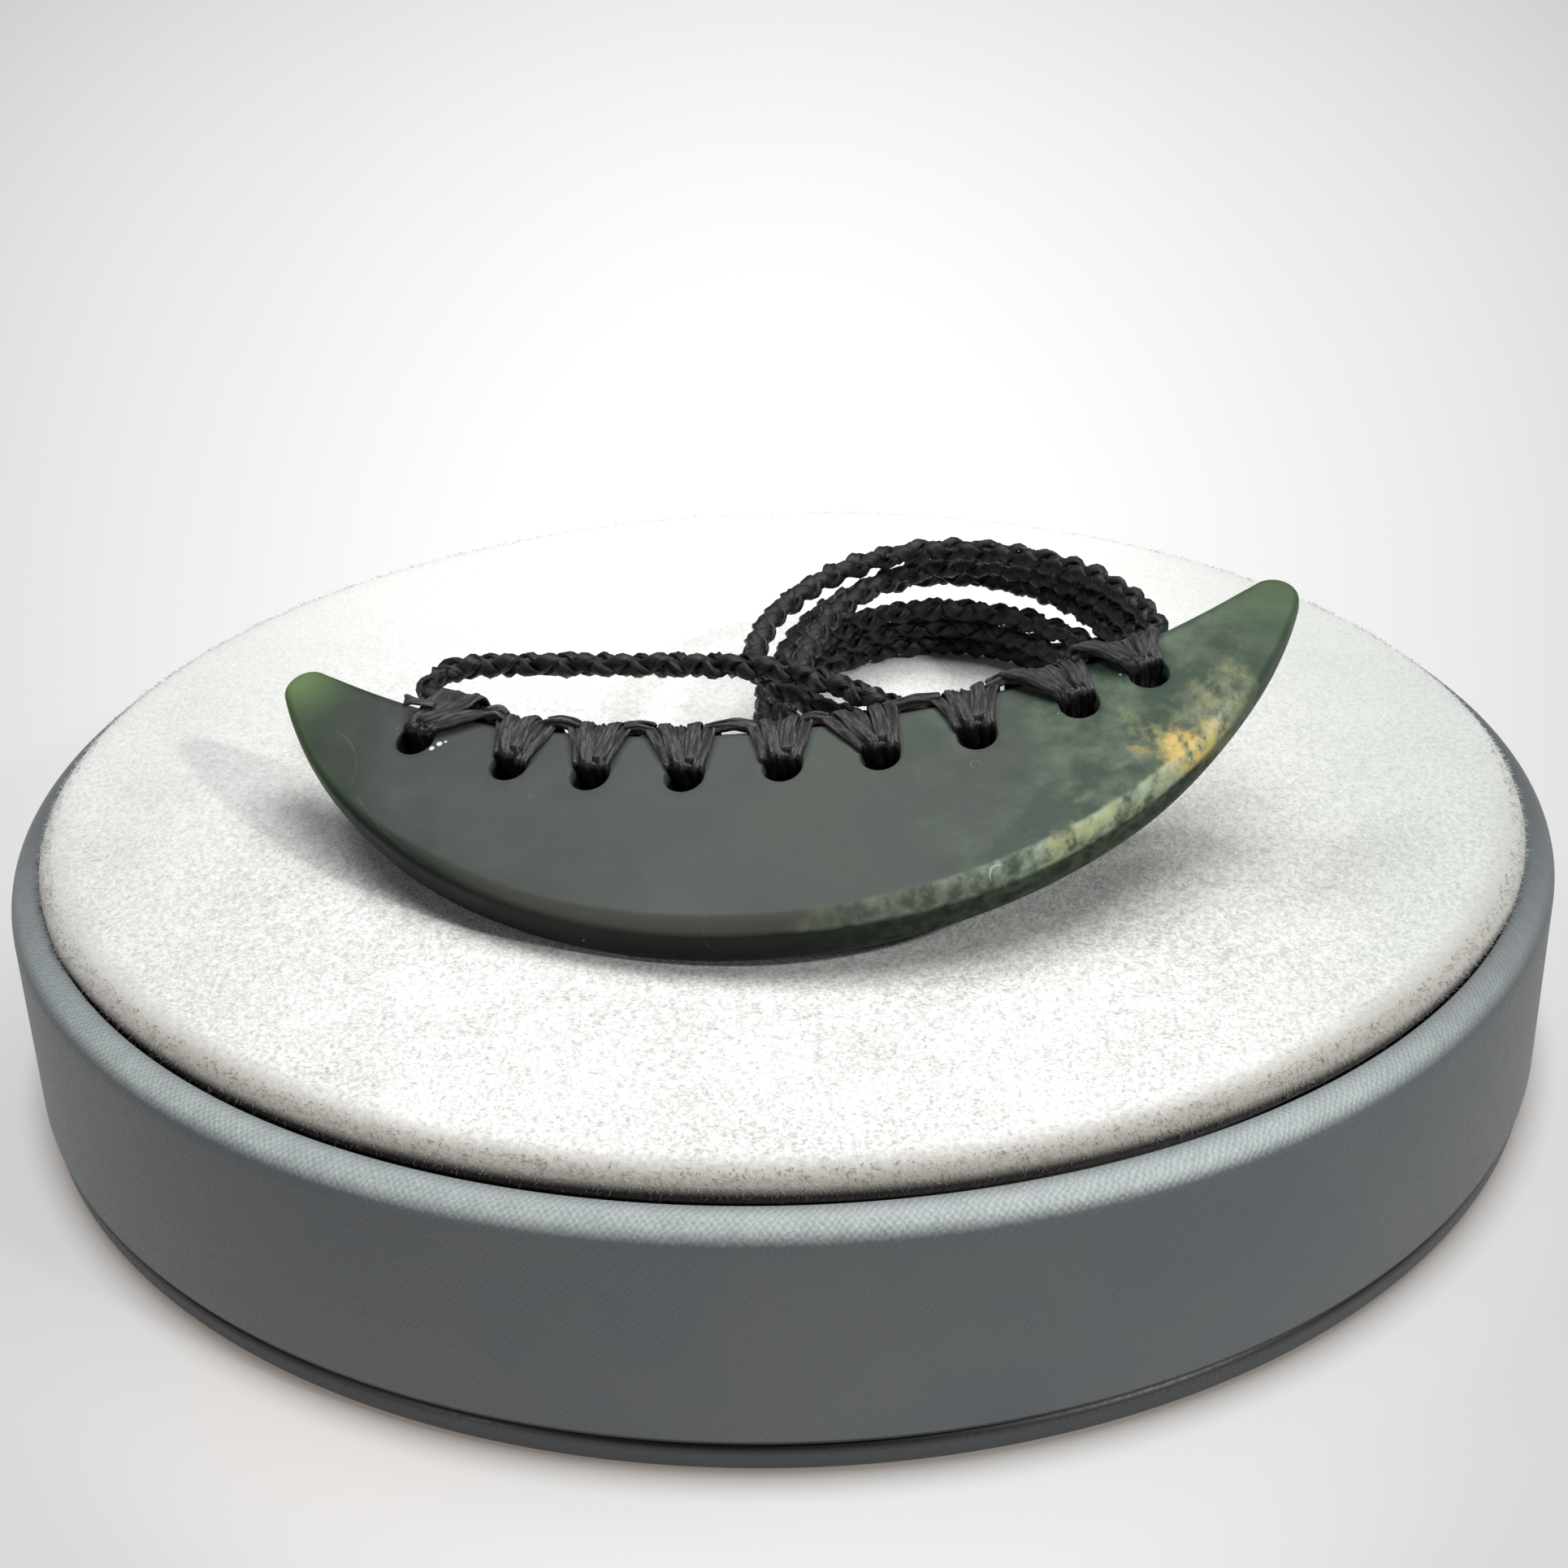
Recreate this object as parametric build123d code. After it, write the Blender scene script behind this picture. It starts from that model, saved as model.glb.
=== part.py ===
"""Jade shield pendant with a lashed top edge and a coiled neck cord, lying on a round display stand.

Z is up, the origin is the middle of the stand's underside, and the pendant faces -Y.
"""
import os
from math import cos, sin, radians, tan, acos, degrees, sqrt, copysign
from build123d import *

os.makedirs("parts", exist_ok=True)

# the stand: a drum with a recessed top, the cushion in it and a thin foot
stand_diameter = 130.0
rim_height = 20.5
rim_width = 2.6
rim_round = 3.0
rim_lip_round = 0.8
recess_depth = 2.4
foot_height = 2.4
foot_inset = 0.4
groove_height = 0.3
groove_depth = 1.0
pad_gap = 0.5
pad_rise = 1.2
pad_round = 2.0
small_round = 0.4

# the shield, drawn flat: the lower circle's middle is its origin, and its back lies at zero
lower_radius = 43.76
upper_radius = 66.47
middle_height = 20.46
shield_thickness = 5.0
dome_radius = 600.0
tip_round = 2.0
front_round = 0.95
back_round = 1.5

# how it lies on the cushion
shield_x = 1.1
shield_y = 5.6
turned = -2.2
tilt = 20.0
right_side_up = 6.4
rest_gap = 0.1

# the row of lashing holes: shares of the half span, and shares of the middle depth
hole_diameter = 3.1
hole_half_span = 24.7
hole_depth = 4.8
hole_places = (-1.0, -0.70, -0.473, -0.226, 0.022, 0.269, 0.516, 0.79, 0.995)
hole_depths = (0.79, 0.99, 1.06, 1.075, 0.975, 1.005, 0.98, 0.925, 0.81)

# each lashing: flat thread through the hole and round the top edge, fanned out along it;
# the fan's middle and width at the top are shares of fan_width
thread = 0.7
thread_gap = 0.12
fan_width = 5.6
fan_shift = (0.35, -0.036, -0.064, -0.18, -0.054, -0.196, 0.046, -0.16, 0.036)
fan_share = (1.12, 0.93, 0.965, 1.0, 0.93, 1.035, 1.0, 1.035, 1.035)
edge_thread_thickness = 0.5
edge_thread_width = 0.9
edge_thread_half_span = 25.6

# the neck cord and its coil behind the shield: plan shares of coil_width from the coil's middle,
# heights in cord diameters above the cushion
cord_diameter = 2.0
coil_width = 35.0
coil_x = 14.9
coil_steps = 24
coil_rails = (
    # left, right, waist, front, rear, then height at left, front, right, rear
    (-0.520, 0.520, -0.080, -0.374, 0.640, 5.50, 4.95, 6.65, 6.05),
    (-0.506, 0.506, 0.000, -0.429, 0.749, 2.25, 2.00, 3.75, 3.60),
    (-0.529, 0.534, 0.009, -0.634, 0.686, 1.05, 1.05, 1.10, 1.05),
    (-0.523, 0.529, 0.017, -0.640, 0.683, 0.05, 0.05, 0.05, 0.05),
    (-0.431, 0.403, 0.034, -0.360, 0.600, 0.05, 0.05, 0.05, 0.05),
    (-0.397, 0.403, 0.029, -0.337, 0.580, 2.25, 2.25, 3.75, 2.75),
    (-0.357, 0.454, -0.057, -0.317, 0.566, 5.00, 4.75, 6.50, 6.05),
)
# the two stretches that aren't coiled, in mm from the middle of the stand's underside
neck_points = (
    (-28.6, -6.0, 32.6), (-27.5, -3.5, 32.8), (-24.8, -2.6, 32.7), (-20.4, -2.7, 32.6),
    (-13.6, -3.2, 32.6), (-7.0, -5.0, 33.2), (-0.8, -7.4, 34.0), (5.2, -10.2, 33.3),
    (10.6, -12.2, 31.3),
)
tail_points = (
    (22.5, -19.0, 22.9), (25.8, -17.1, 22.9), (28.1, -15.0, 24.4), (29.2, -13.4, 27.2),
)

stand_radius = stand_diameter / 2
recess_floor = rim_height - recess_depth
pad_top = rim_height + pad_rise
recess_radius = stand_radius - rim_width
upper_centre = upper_radius + middle_height - lower_radius
edge_radius = upper_radius - thread_gap - edge_thread_thickness / 2


def drum(radius, low, high):
    return Pos(0, 0, low) * Cylinder(radius, high - low, align=(Align.CENTER, Align.CENTER, Align.MIN))


def round_edge(solid, radius, height, amount):
    """round the circular edge of this radius at this height"""
    edges = [e for e in solid.edges().filter_by(GeomType.CIRCLE)
             if abs(e.radius - radius) < 1e-3 and abs(e.arc_center.Z - height) < 1e-3]
    return fillet(edges, amount)


def stand_parts():
    body_low = foot_height + groove_height
    body = drum(stand_radius, body_low, rim_height)
    body -= drum(recess_radius, recess_floor, rim_height + 1)
    body = round_edge(body, stand_radius, rim_height, rim_round * 0.8)
    body = round_edge(body, recess_radius, rim_height, min(rim_lip_round, rim_width * 0.15))
    body = round_edge(body, stand_radius, body_low, small_round)
    body += drum(stand_radius - groove_depth, foot_height, body_low)
    foot = round_edge(drum(stand_radius - foot_inset, 0, foot_height),
                      stand_radius - foot_inset, foot_height, small_round)
    pad = drum(recess_radius - pad_gap, recess_floor, pad_top)
    pad = round_edge(pad, recess_radius - pad_gap, pad_top, pad_round)
    return body, foot, pad


def front_at(u):
    """height of the domed front over the back, this far from the middle"""
    return shield_thickness - dome_radius + sqrt(dome_radius ** 2 - u ** 2)


def hole_frame(i):
    """frame at a hole: X along the top edge, Y out over it, Z out of the front"""
    angle = hole_half_span * hole_places[i]
    reach = upper_radius + hole_depth * hole_depths[i]
    a = radians(angle)
    return Pos(reach * sin(a), upper_centre - reach * cos(a), 0) * Rot(0, 0, angle)


def flat_shield():
    outline = Circle(lower_radius) - Pos(0, upper_centre) * Circle(upper_radius)
    tips = [v for v in outline.vertices() if abs(v.X) > lower_radius / 2]
    outline = fillet(tips, tip_round)
    plate = extrude(outline, shield_thickness)
    dome = Pos(0, 0, shield_thickness - dome_radius) * Rot(90, 0, 0) * Cylinder(dome_radius, 4 * lower_radius)
    plate &= dome
    plate = Solid(plate.solid().wrapped)
    back = [e for e in plate.edges() if abs(e.center().Z) < 1e-4 and abs((e @ 0.3).Z) < 1e-4]
    plate = plate.fillet(back_round, back)
    low = front_at(lower_radius) - 0.3
    wall = [e for e in plate.edges()
            if (e @ 0).Z > low and (e @ 1).Z > low and (e @ 0.5).Z > low]
    plate = plate.fillet(front_round, wall)
    for i in range(len(hole_places)):
        plate -= hole_frame(i) * Cylinder(hole_diameter / 2, 4 * shield_thickness)
    return plate.solid()


def lay_down(plate):
    """the pose that puts the plate on the cushion"""
    turn = Rot(0, 0, turned) * Rot(tilt, 0, 0) * Rot(0, -right_side_up, 0)
    low = (turn * plate).bounding_box().min.Z
    return Pos(shield_x, shield_y, pad_top + rest_gap - low) * turn


def band_top(i):
    """outer face of a lashing over the top edge, measured from its hole"""
    reach = fan_width * (abs(fan_shift[i]) + fan_share[i] / 2)
    bow = reach ** 2 / 2 / upper_radius
    return hole_depth * hole_depths[i] + bow + 2 * thread_gap + edge_thread_thickness + thread


def binding(i):
    """one closed band of thread in its hole's frame"""
    inner_y = hole_diameter * 0.05
    outer_y = band_top(i)
    middle = fan_width * fan_shift[i]
    half = fan_width * fan_share[i] / 2
    leg = hole_diameter * 0.32
    frame = hole_frame(i)
    sides = [(frame * Pos(x, y, 0)).position.X for x, y in
             ((-leg, inner_y), (leg, inner_y), (middle - half, outer_y), (middle + half, outer_y))]
    near = 0 if min(sides) < 0 < max(sides) else min(abs(x) for x in sides)
    face = front_at(near) + thread_gap
    tall = face + 2 * thread + thread_gap
    long = outer_y - inner_y
    side = Plane.YZ * Pos(inner_y + long / 2, (face - thread_gap) / 2)
    loop = side * (RectangleRounded(long, tall, thread * 0.8)
                   - RectangleRounded(long - 2 * thread, tall - 2 * thread, thread * 0.2))
    band = extrude(loop, 3 * fan_width, both=True)
    fan = Polygon((-leg, inner_y - 0.01), (leg, inner_y - 0.01),
                  (middle + half, outer_y + 0.01), (middle - half, outer_y + 0.01), align=None)
    band &= extrude(fan, 4 * shield_thickness, both=True)
    inside = tall - 2 * thread
    for way in (-1, 1):
        spare = Box(fan_width * 3, thread * 1.2, inside)
        band -= Pos(way * (leg + fan_width * 1.5), inner_y + thread * 0.5, (face - thread_gap) / 2) * spare
    return band.solid()


def edge_line():
    half = edge_thread_half_span
    path = CenterArc((0, upper_centre), edge_radius, 270 - half, 2 * half)
    path = Pos(0, 0, shield_thickness * 0.6) * path
    section = (Plane(origin=path @ 0, x_dir=(0, 0, 1), z_dir=path % 0)
               * RectangleRounded(edge_thread_width, edge_thread_thickness, edge_thread_thickness * 0.45))
    return sweep(section, path=path).solid()


def coil_point(rail, step):
    left, right, waist, front, rear, at_left, at_front, at_right, at_rear = rail
    a = radians(360 * step / coil_steps)
    c, s = cos(a), sin(a)
    reach = rear - waist if s > 0 else waist - front
    side, end = (at_right if c > 0 else at_left), (at_rear if s > 0 else at_front)
    x = coil_x + coil_width * ((left + right) / 2 + (right - left) / 2 * c)
    y = coil_width * (waist + reach * s)
    return Vector(x, y, pad_top + cord_diameter * (side * c * c + end * s * s))


def coil_solid():
    """the outer shape of the stacked coil, one closed ring"""
    rings = [[coil_point(rail, step) for rail in coil_rails] for step in range(coil_steps)]
    faces = []
    many = len(coil_rails)
    for step in range(coil_steps):
        here, there = rings[step], rings[(step + 1) % coil_steps]
        for k in range(many):
            a, b = here[k], here[(k + 1) % many]
            c, d = there[(k + 1) % many], there[k]
            for corners in ((a, b, c), (a, c, d)):
                faces.append(Face(Wire.make_polygon(corners, close=True)))
    solid = Solid(Shell(faces))
    return solid if solid.volume > 0 else Solid(solid.wrapped.Reversed())


def cord_radii(points):
    """one radius a corner, so that the arcs of neighbouring corners never meet"""
    radii = []
    for a, b, c in zip(points, points[1:], points[2:]):
        first, second = b - a, c - b
        turn = acos(max(-1, min(1, first.dot(second) / first.length / second.length)))
        radii.append(0.45 * min(first.length, second.length) / tan(turn / 2))
    return radii


def cord_tube(name, points):
    radii = cord_radii(points)
    path = FilletPolyline(*points, radius=radii)
    section = Plane(origin=path @ 0, z_dir=path % 0) * Circle(cord_diameter / 2)
    tube = sweep(section, path=path).solid()
    share = tube.volume / (path.length * section.area)
    print(name, "length", round(path.length, 1), "least radius", round(min(radii), 1),
          "volume share", round(share, 4))
    return tube


body, foot, pad = stand_parts()
plate = flat_shield()
pose = lay_down(plate)
shield = pose * plate
bindings = [pose * hole_frame(i) * binding(i) for i in range(len(hole_places))]
edge_thread = pose * edge_line()
coil = coil_solid()

def lashing_point(i, x, y, z):
    """a point in a hole's frame, where the lashed shield lies"""
    return (pose * hole_frame(i) * Pos(x, y, z)).position


first_exit = lashing_point(0, -fan_width * 0.03, band_top(0), shield_thickness * 0.52)
last_seat = lashing_point(8, 0, hole_diameter * 0.6, -thread_gap - thread)
last_way = lashing_point(8, 0, hole_diameter * 0.6, -thread_gap - thread - 1.1 * cord_diameter)
neck = cord_tube("neck cord", [first_exit] + [Vector(*p) for p in neck_points])
neck = (neck - coil - bindings[0] - edge_thread).solids().sort_by(SortBy.VOLUME)[-1]
tail = cord_tube("cord tail", [Vector(*p) for p in tail_points] + [last_way, last_seat])
tail = (tail - coil).solids().sort_by(SortBy.VOLUME)[-1]

nodes = {"neck_cord": neck, "cord_tail": tail, "stand_body": body, "stand_foot": foot, "stand_pad": pad, "jade_shield": shield,
         "edge_thread": edge_thread, "cord_coil": coil}
for i, band in enumerate(bindings):
    nodes[f"binding_{i + 1}"] = band

for name, solid in nodes.items():
    print(name, "valid", solid.is_valid, "volume", round(solid.volume, 1))
    export_step(solid, f"parts/{name}.step")
print("low point of the shield over the cushion", round(shield.bounding_box().min.Z - pad_top, 3))
print("shield origin", [round(v, 2) for v in (pose.position.X, pose.position.Y, pose.position.Z)])
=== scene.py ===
# Jade shield pendant: lashed top edge and plaited neck cord, lying on a round display stand.
# Metres, Z up, the pendant faces -Y. Shapes are worked out in millimetres and scaled by mm.
import bpy
import bmesh
import random
from math import sin, cos, pi, radians, sqrt, atan2, copysign, hypot, tau
from mathutils import Vector, Matrix, noise
from mathutils.geometry import delaunay_2d_cdt


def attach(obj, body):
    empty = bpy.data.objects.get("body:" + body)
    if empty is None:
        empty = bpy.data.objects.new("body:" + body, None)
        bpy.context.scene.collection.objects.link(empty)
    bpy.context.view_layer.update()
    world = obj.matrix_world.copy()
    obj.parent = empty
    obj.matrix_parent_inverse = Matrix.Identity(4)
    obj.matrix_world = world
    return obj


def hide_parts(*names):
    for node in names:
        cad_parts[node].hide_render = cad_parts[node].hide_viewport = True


mm = 0.001
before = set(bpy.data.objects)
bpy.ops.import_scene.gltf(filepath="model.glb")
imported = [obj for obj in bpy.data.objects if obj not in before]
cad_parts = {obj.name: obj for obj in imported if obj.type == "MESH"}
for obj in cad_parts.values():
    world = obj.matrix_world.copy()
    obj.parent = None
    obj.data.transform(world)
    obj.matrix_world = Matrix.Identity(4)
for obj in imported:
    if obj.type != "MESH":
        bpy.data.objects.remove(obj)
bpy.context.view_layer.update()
scene = bpy.context.scene
print("frame loaded:", len(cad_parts), "CAD nodes")


# the camera, at the photograph's viewing angle
cameraSet = {"place": (0.0, -0.187985, 0.113358), "turnDegrees": (63.4344, 1.4152, -0.8057),
             "lens": 55.205, "sensor": 36.0}
camData = bpy.data.cameras.new("photoCamera")
camData.lens = cameraSet["lens"]
camData.sensor_width = cameraSet["sensor"]
camData.clip_start, camData.clip_end = 0.005, 20
camera = bpy.data.objects.new("photoCamera", camData)
camera.location = cameraSet["place"]
camera.rotation_euler = [radians(a) for a in cameraSet["turnDegrees"]]
scene.collection.objects.link(camera)
scene.camera = camera
scene.view_settings.view_transform = "Standard"
print("camera placed")


# nodes: a field is one node's output and can be reckoned with like a number
class Field:
    def __init__(self, tree, socket):
        self.tree, self.socket = tree, socket

    def math(self, operation, *others):
        return field(self.tree, "ShaderNodeMath", dict(enumerate((self, *others))), operation=operation)

    def __add__(self, other):
        return self.math("ADD", other)

    def __sub__(self, other):
        return self.math("SUBTRACT", other)

    def __rsub__(self, other):
        return field(self.tree, "ShaderNodeMath", {0: other, 1: self}, operation="SUBTRACT")

    def __mul__(self, other):
        return self.math("MULTIPLY", other)

    def __truediv__(self, other):
        return self.math("DIVIDE", other)

    def __rtruediv__(self, other):
        return field(self.tree, "ShaderNodeMath", {0: other, 1: self}, operation="DIVIDE")

    def between(self, low, high, toLow=0.0, toHigh=1.0):
        return field(self.tree, "ShaderNodeMapRange", {"Value": self, "From Min": low, "From Max": high,
                                                       "To Min": toLow, "To Max": toHigh}, "Result")

    def mix(self, a, b):
        # colour a where this is 0, colour b where it is 1
        return field(self.tree, "ShaderNodeMix", {0: self, 6: a, 7: b}, 2, data_type="RGBA")

    def vector(self, operation, other):
        return field(self.tree, "ShaderNodeVectorMath", {0: self, 1: other}, operation=operation)

    def scaled(self, factor):
        return field(self.tree, "ShaderNodeVectorMath", {0: self, "Scale": factor}, operation="SCALE")

    def parts(self):
        node = addNode(self.tree, "ShaderNodeSeparateXYZ", {0: self})
        return [Field(self.tree, socket) for socket in node.outputs]


def setInputs(node, values):
    # a field is linked, anything else is set on the socket itself
    for key, value in values.items():
        socket = node.inputs[key]
        if isinstance(value, Field):
            value.tree.links.new(value.socket, socket)
        else:
            socket.default_value = (*value, 1) if socket.type == "RGBA" else value


def addNode(tree, kind, inputs=None, **settings):
    node = tree.nodes.new(kind)
    for key, value in settings.items():
        setattr(node, key, value)
    setInputs(node, inputs or {})
    return node


def field(tree, kind, inputs=None, output=0, **settings):
    return Field(tree, addNode(tree, kind, inputs, **settings).outputs[output])


def distance(x, y):
    return (x * x + y * y).math("SQRT")


def newTree(kind, name, inputs, outputs):
    # an empty node group, and its named inputs as fields
    tree = bpy.data.node_groups.new(name, kind)
    for side, sockets in (("INPUT", inputs), ("OUTPUT", outputs)):
        for label, socket in sockets.items():
            tree.interface.new_socket(label, in_out=side, socket_type="NodeSocket" + socket)
    return tree, {s.name: Field(tree, s) for s in addNode(tree, "NodeGroupInput").outputs if s.name}


def capture(geometry, domain="POINT", **fields):
    # keeps fields on the geometry: gives the geometry and then each kept field
    node = addNode(geometry.tree, "GeometryNodeCaptureAttribute", {"Geometry": geometry}, domain=domain)
    for name, value in fields.items():
        node.capture_items.new("VECTOR" if value.socket.type == "VECTOR" else "FLOAT", name)
    setInputs(node, fields)
    return [Field(geometry.tree, node.outputs[name]) for name in ("Geometry", *fields)]


def bakeTree(tree, source, name, values):
    # runs the tree on the source object and keeps the result as a plain mesh object
    modifier = source.modifiers.new(tree.name, "NODES")
    modifier.node_group = tree
    for item in tree.interface.items_tree:
        if item.in_out == "INPUT" and item.name in values:
            modifier[item.identifier] = values[item.name]
    graph = bpy.context.evaluated_depsgraph_get()
    mesh = bpy.data.meshes.new_from_object(source.evaluated_get(graph), preserve_all_data_layers=True,
                                           depsgraph=graph)
    mesh.name = name
    bpy.data.objects.remove(source)
    return linkNew(name, mesh)


# meshes and pieces
def linkNew(name, data):
    obj = bpy.data.objects.new(name, data)
    scene.collection.objects.link(obj)
    return obj


def meshObject(name, points, faces, material=None, edges=()):
    mesh = bpy.data.meshes.new(name)
    mesh.from_pydata([tuple(p) for p in points], list(edges), faces)
    mesh.validate()
    if faces:
        mesh.polygons.foreach_set("use_smooth", [True] * len(mesh.polygons))
    if material:
        mesh.materials.append(material)
    return linkNew(name, mesh)


def pathObject(name, lines):
    # poly lines as loose edges; each line is (points, closed)
    points, edges = [], []
    for line, closed in lines:
        first = len(points)
        points += line
        edges += [(first + i, first + i + 1) for i in range(len(line) - 1)]
        if closed:
            edges.append((first + len(line) - 1, first))
    return meshObject(name, points, [], edges=edges)


def turnOutwards(obj):
    work = bmesh.new()
    work.from_mesh(obj.data)
    bmesh.ops.recalc_face_normals(work, faces=work.faces)
    work.to_mesh(obj.data)
    work.free()


def finishPiece(obj, slot, *nodes):
    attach(obj, "root")
    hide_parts(*nodes)
    print(obj.name + ":", len(obj.data.polygons), "faces")
    return obj


def shareOf(value, low, high):
    # 0 at low, 1 at high, held between
    return min(1.0, max(0.0, (value - low) / (high - low)))


def eased(share):
    return share * share * (3 - 2 * share)


def placed(pose):
    # a pose in mm for a mesh that is already in metres
    return Matrix.Translation(pose.translation * mm) @ pose.to_3x3().to_4x4()


# where the shield lies, and its hole frames, in mm
shield = {"lowerRadius": 43.76, "upperRadius": 66.47, "middleHeight": 20.46, "thickness": 5.0,
          "domeRadius": 600.0, "tipRound": 2.0, "backRound": 1.5,
          "place": (1.1, 5.6, 37.02), "turned": -2.2, "tilt": 20.0, "rightSideUp": 6.4,
          "holeDiameter": 3.1, "holeHalfSpan": 24.7, "holeDepth": 4.8,
          "holePlaces": (-1.0, -0.70, -0.473, -0.226, 0.022, 0.269, 0.516, 0.79, 0.995),
          "holeDepths": (0.79, 0.99, 1.06, 1.075, 0.975, 1.005, 0.98, 0.925, 0.81)}
holeRadius = shield["holeDiameter"] / 2
upperCentre = shield["upperRadius"] + shield["middleHeight"] - shield["lowerRadius"]
tipReach = shield["lowerRadius"] - shield["tipRound"]
tipOver = shield["upperRadius"] + shield["tipRound"]
tipY = (upperCentre ** 2 - tipOver ** 2 + tipReach ** 2) / (2 * upperCentre)
tipX = sqrt(tipReach ** 2 - tipY ** 2)
shieldPose = (Matrix.Translation(shield["place"])
              @ Matrix.Rotation(radians(shield["turned"]), 4, "Z")
              @ Matrix.Rotation(radians(shield["tilt"]), 4, "X")
              @ Matrix.Rotation(radians(-shield["rightSideUp"]), 4, "Y"))


def frontAt(u):
    return shield["thickness"] - shield["domeRadius"] + sqrt(shield["domeRadius"] ** 2 - u * u)


def holeAngle(i):
    return radians(shield["holeHalfSpan"] * shield["holePlaces"][i])


def holeFrame(i):
    # X along the top edge, Y out over it, Z out of the front
    a = holeAngle(i)
    reach = shield["upperRadius"] + shield["holeDepth"] * shield["holeDepths"][i]
    return Matrix.Translation((reach * sin(a), upperCentre - reach * cos(a), 0)) @ Matrix.Rotation(a, 4, "Z")


def lashingPoint(i, x, y, z):
    return shieldPose @ holeFrame(i) @ Vector((x, y, z))


# the neck cord's route, one spline from end to end, in mm
cord = {"diameter": 2.0, "padTop": 21.7, "stepDegrees": 30, "startDegrees": -60, "turnCount": 6,
        "rearPower": 2 / 1.85, "smoothness": 14, "layLength": 6.4, "strandWidth": 1.36,
        "strandThickness": 0.74, "swing": 0.36, "step": 0.38, "bulk": 0.14, "foldSize": 0.28,
        "foldDepth": 0.80, "corners": 12}
coilTurns = (  # left, right, waist, front, rear, then the height over the pad at left, front, right, rear
    (-2.6, 32.4, -2.8, -12.2, 21.0, 10.4, 9.2, 12.6, 11.3),
    (1.6, 31.8, -1.4, -12.6, 22.6, 8.4, 7.0, 10.4, 9.1),
    (-0.4, 31.0, 0.4, -13.0, 25.2, 6.9, 4.8, 8.2, 7.2),
    (-1.6, 30.4, 1.6, -13.6, 21.3, 4.95, 2.65, 6.0, 5.2),
    (-1.0, 29.4, 1.6, -16.2, 22.2, 2.9, 1.2, 3.8, 3.15),
    (-2.4, 31.4, 0.6, -18.8, 22.9, 1.1, 1.2, 1.5, 1.1),
    (-3.2, 33.0, 0.0, -21.4, 22.9, 1.1, 1.2, 1.4, 1.1),
)
neckPoints = [(-29.0, -7.3, 32.0), (-28.6, -4.6, 32.5), (-26.2, -2.9, 32.8), (-20.4, -2.7, 32.6),
              (-13.6, -3.2, 32.6), (-7.0, -5.0, 33.2), (-0.8, -7.4, 34.0), (5.2, -10.2, 33.3),
              (10.6, -12.2, 31.3)]
tailPoints = [(22.5, -19.0, 22.9), (25.8, -17.1, 22.9), (28.1, -15.0, 24.4), (29.2, -13.4, 27.2)]
cordExit = lashingPoint(0, 2.9, 5.0, 2.9)
cordTuck = [lashingPoint(0, 1.2, 5.05, 2.9), lashingPoint(0, -1.0, 5.2, 2.8)]  # held under lashing 1
cordEnd = [lashingPoint(8, 0, 1.86, -3.02), lashingPoint(8, 0, 1.86, -0.82)]


def coilPoint(turn, local):
    row = coilTurns[turn]
    if local > 180:  # the last quarter of a turn leads into the next one
        row = [a + (b - a) * (local - 180) / 90 for a, b in zip(row, coilTurns[turn + 1])]
    left, right, waist, front, rear, atLeft, atFront, atRight, atRear = row
    c, s = cos(radians(local)), sin(radians(local))
    depth, end = (rear - waist, atRear) if s > 0 else (waist - front, atFront)
    power = cord["rearPower"] if s > 0 else 1
    x = (left + right) / 2 + (right - left) / 2 * copysign(abs(c) ** power, c)
    y = waist + depth * copysign(abs(s) ** power, s)
    return (x, y, cord["padTop"] + (atRight if c > 0 else atLeft) * c * c + end * s * s)


def cordPoints():
    coil = []
    last = 360 * (cord["turnCount"] - 1) + 270
    for angle in range(cord["startDegrees"], last, cord["stepDegrees"]):
        coil.append(coilPoint((angle + 90) // 360, (angle + 90) % 360 - 90))
    coil.append(coilPoint(cord["turnCount"] - 1, 270))
    return [cordExit] + cordTuck + neckPoints + coil + tailPoints + cordEnd


def splineLine(points):
    # the points as a smooth NURBS spline, read back as the line it draws
    curve = bpy.data.curves.new("cordRoute", "CURVE")
    curve.dimensions = "3D"
    curve.resolution_u = cord["smoothness"]
    spline = curve.splines.new("NURBS")
    spline.points.add(len(points) - 1)
    for knot, p in zip(spline.points, points):
        knot.co = (p[0] * mm, p[1] * mm, p[2] * mm, 1)
    spline.order_u = 3
    spline.use_endpoint_u = True
    obj = linkNew("cordRoute", curve)
    graph = bpy.context.evaluated_depsgraph_get()
    mesh = bpy.data.meshes.new_from_object(obj.evaluated_get(graph))
    line = [v.co.copy() for v in mesh.vertices]
    bpy.data.objects.remove(obj)
    bpy.data.meshes.remove(mesh)
    return line


# materials
def newMaterial(name, values):
    material = bpy.data.materials.new(name)
    material.use_nodes = True
    shader = material.node_tree.nodes["Principled BSDF"]
    setInputs(shader, values)
    return material, material.node_tree, shader


def layered(look, colour, *layers):
    # lays colours over each other; a layer is its share and its colour, by name or as a field
    for share, tone in layers:
        colour = share.mix(colour, look[tone] if isinstance(tone, str) else tone)
    return colour


def objectPlace(tree):
    world = field(tree, "ShaderNodeTexCoord", output="Object")
    return world, *world.parts()


def bump(height, strength, reach):
    return field(height.tree, "ShaderNodeBump", {"Height": height, "Strength": strength, "Distance": reach})


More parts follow.
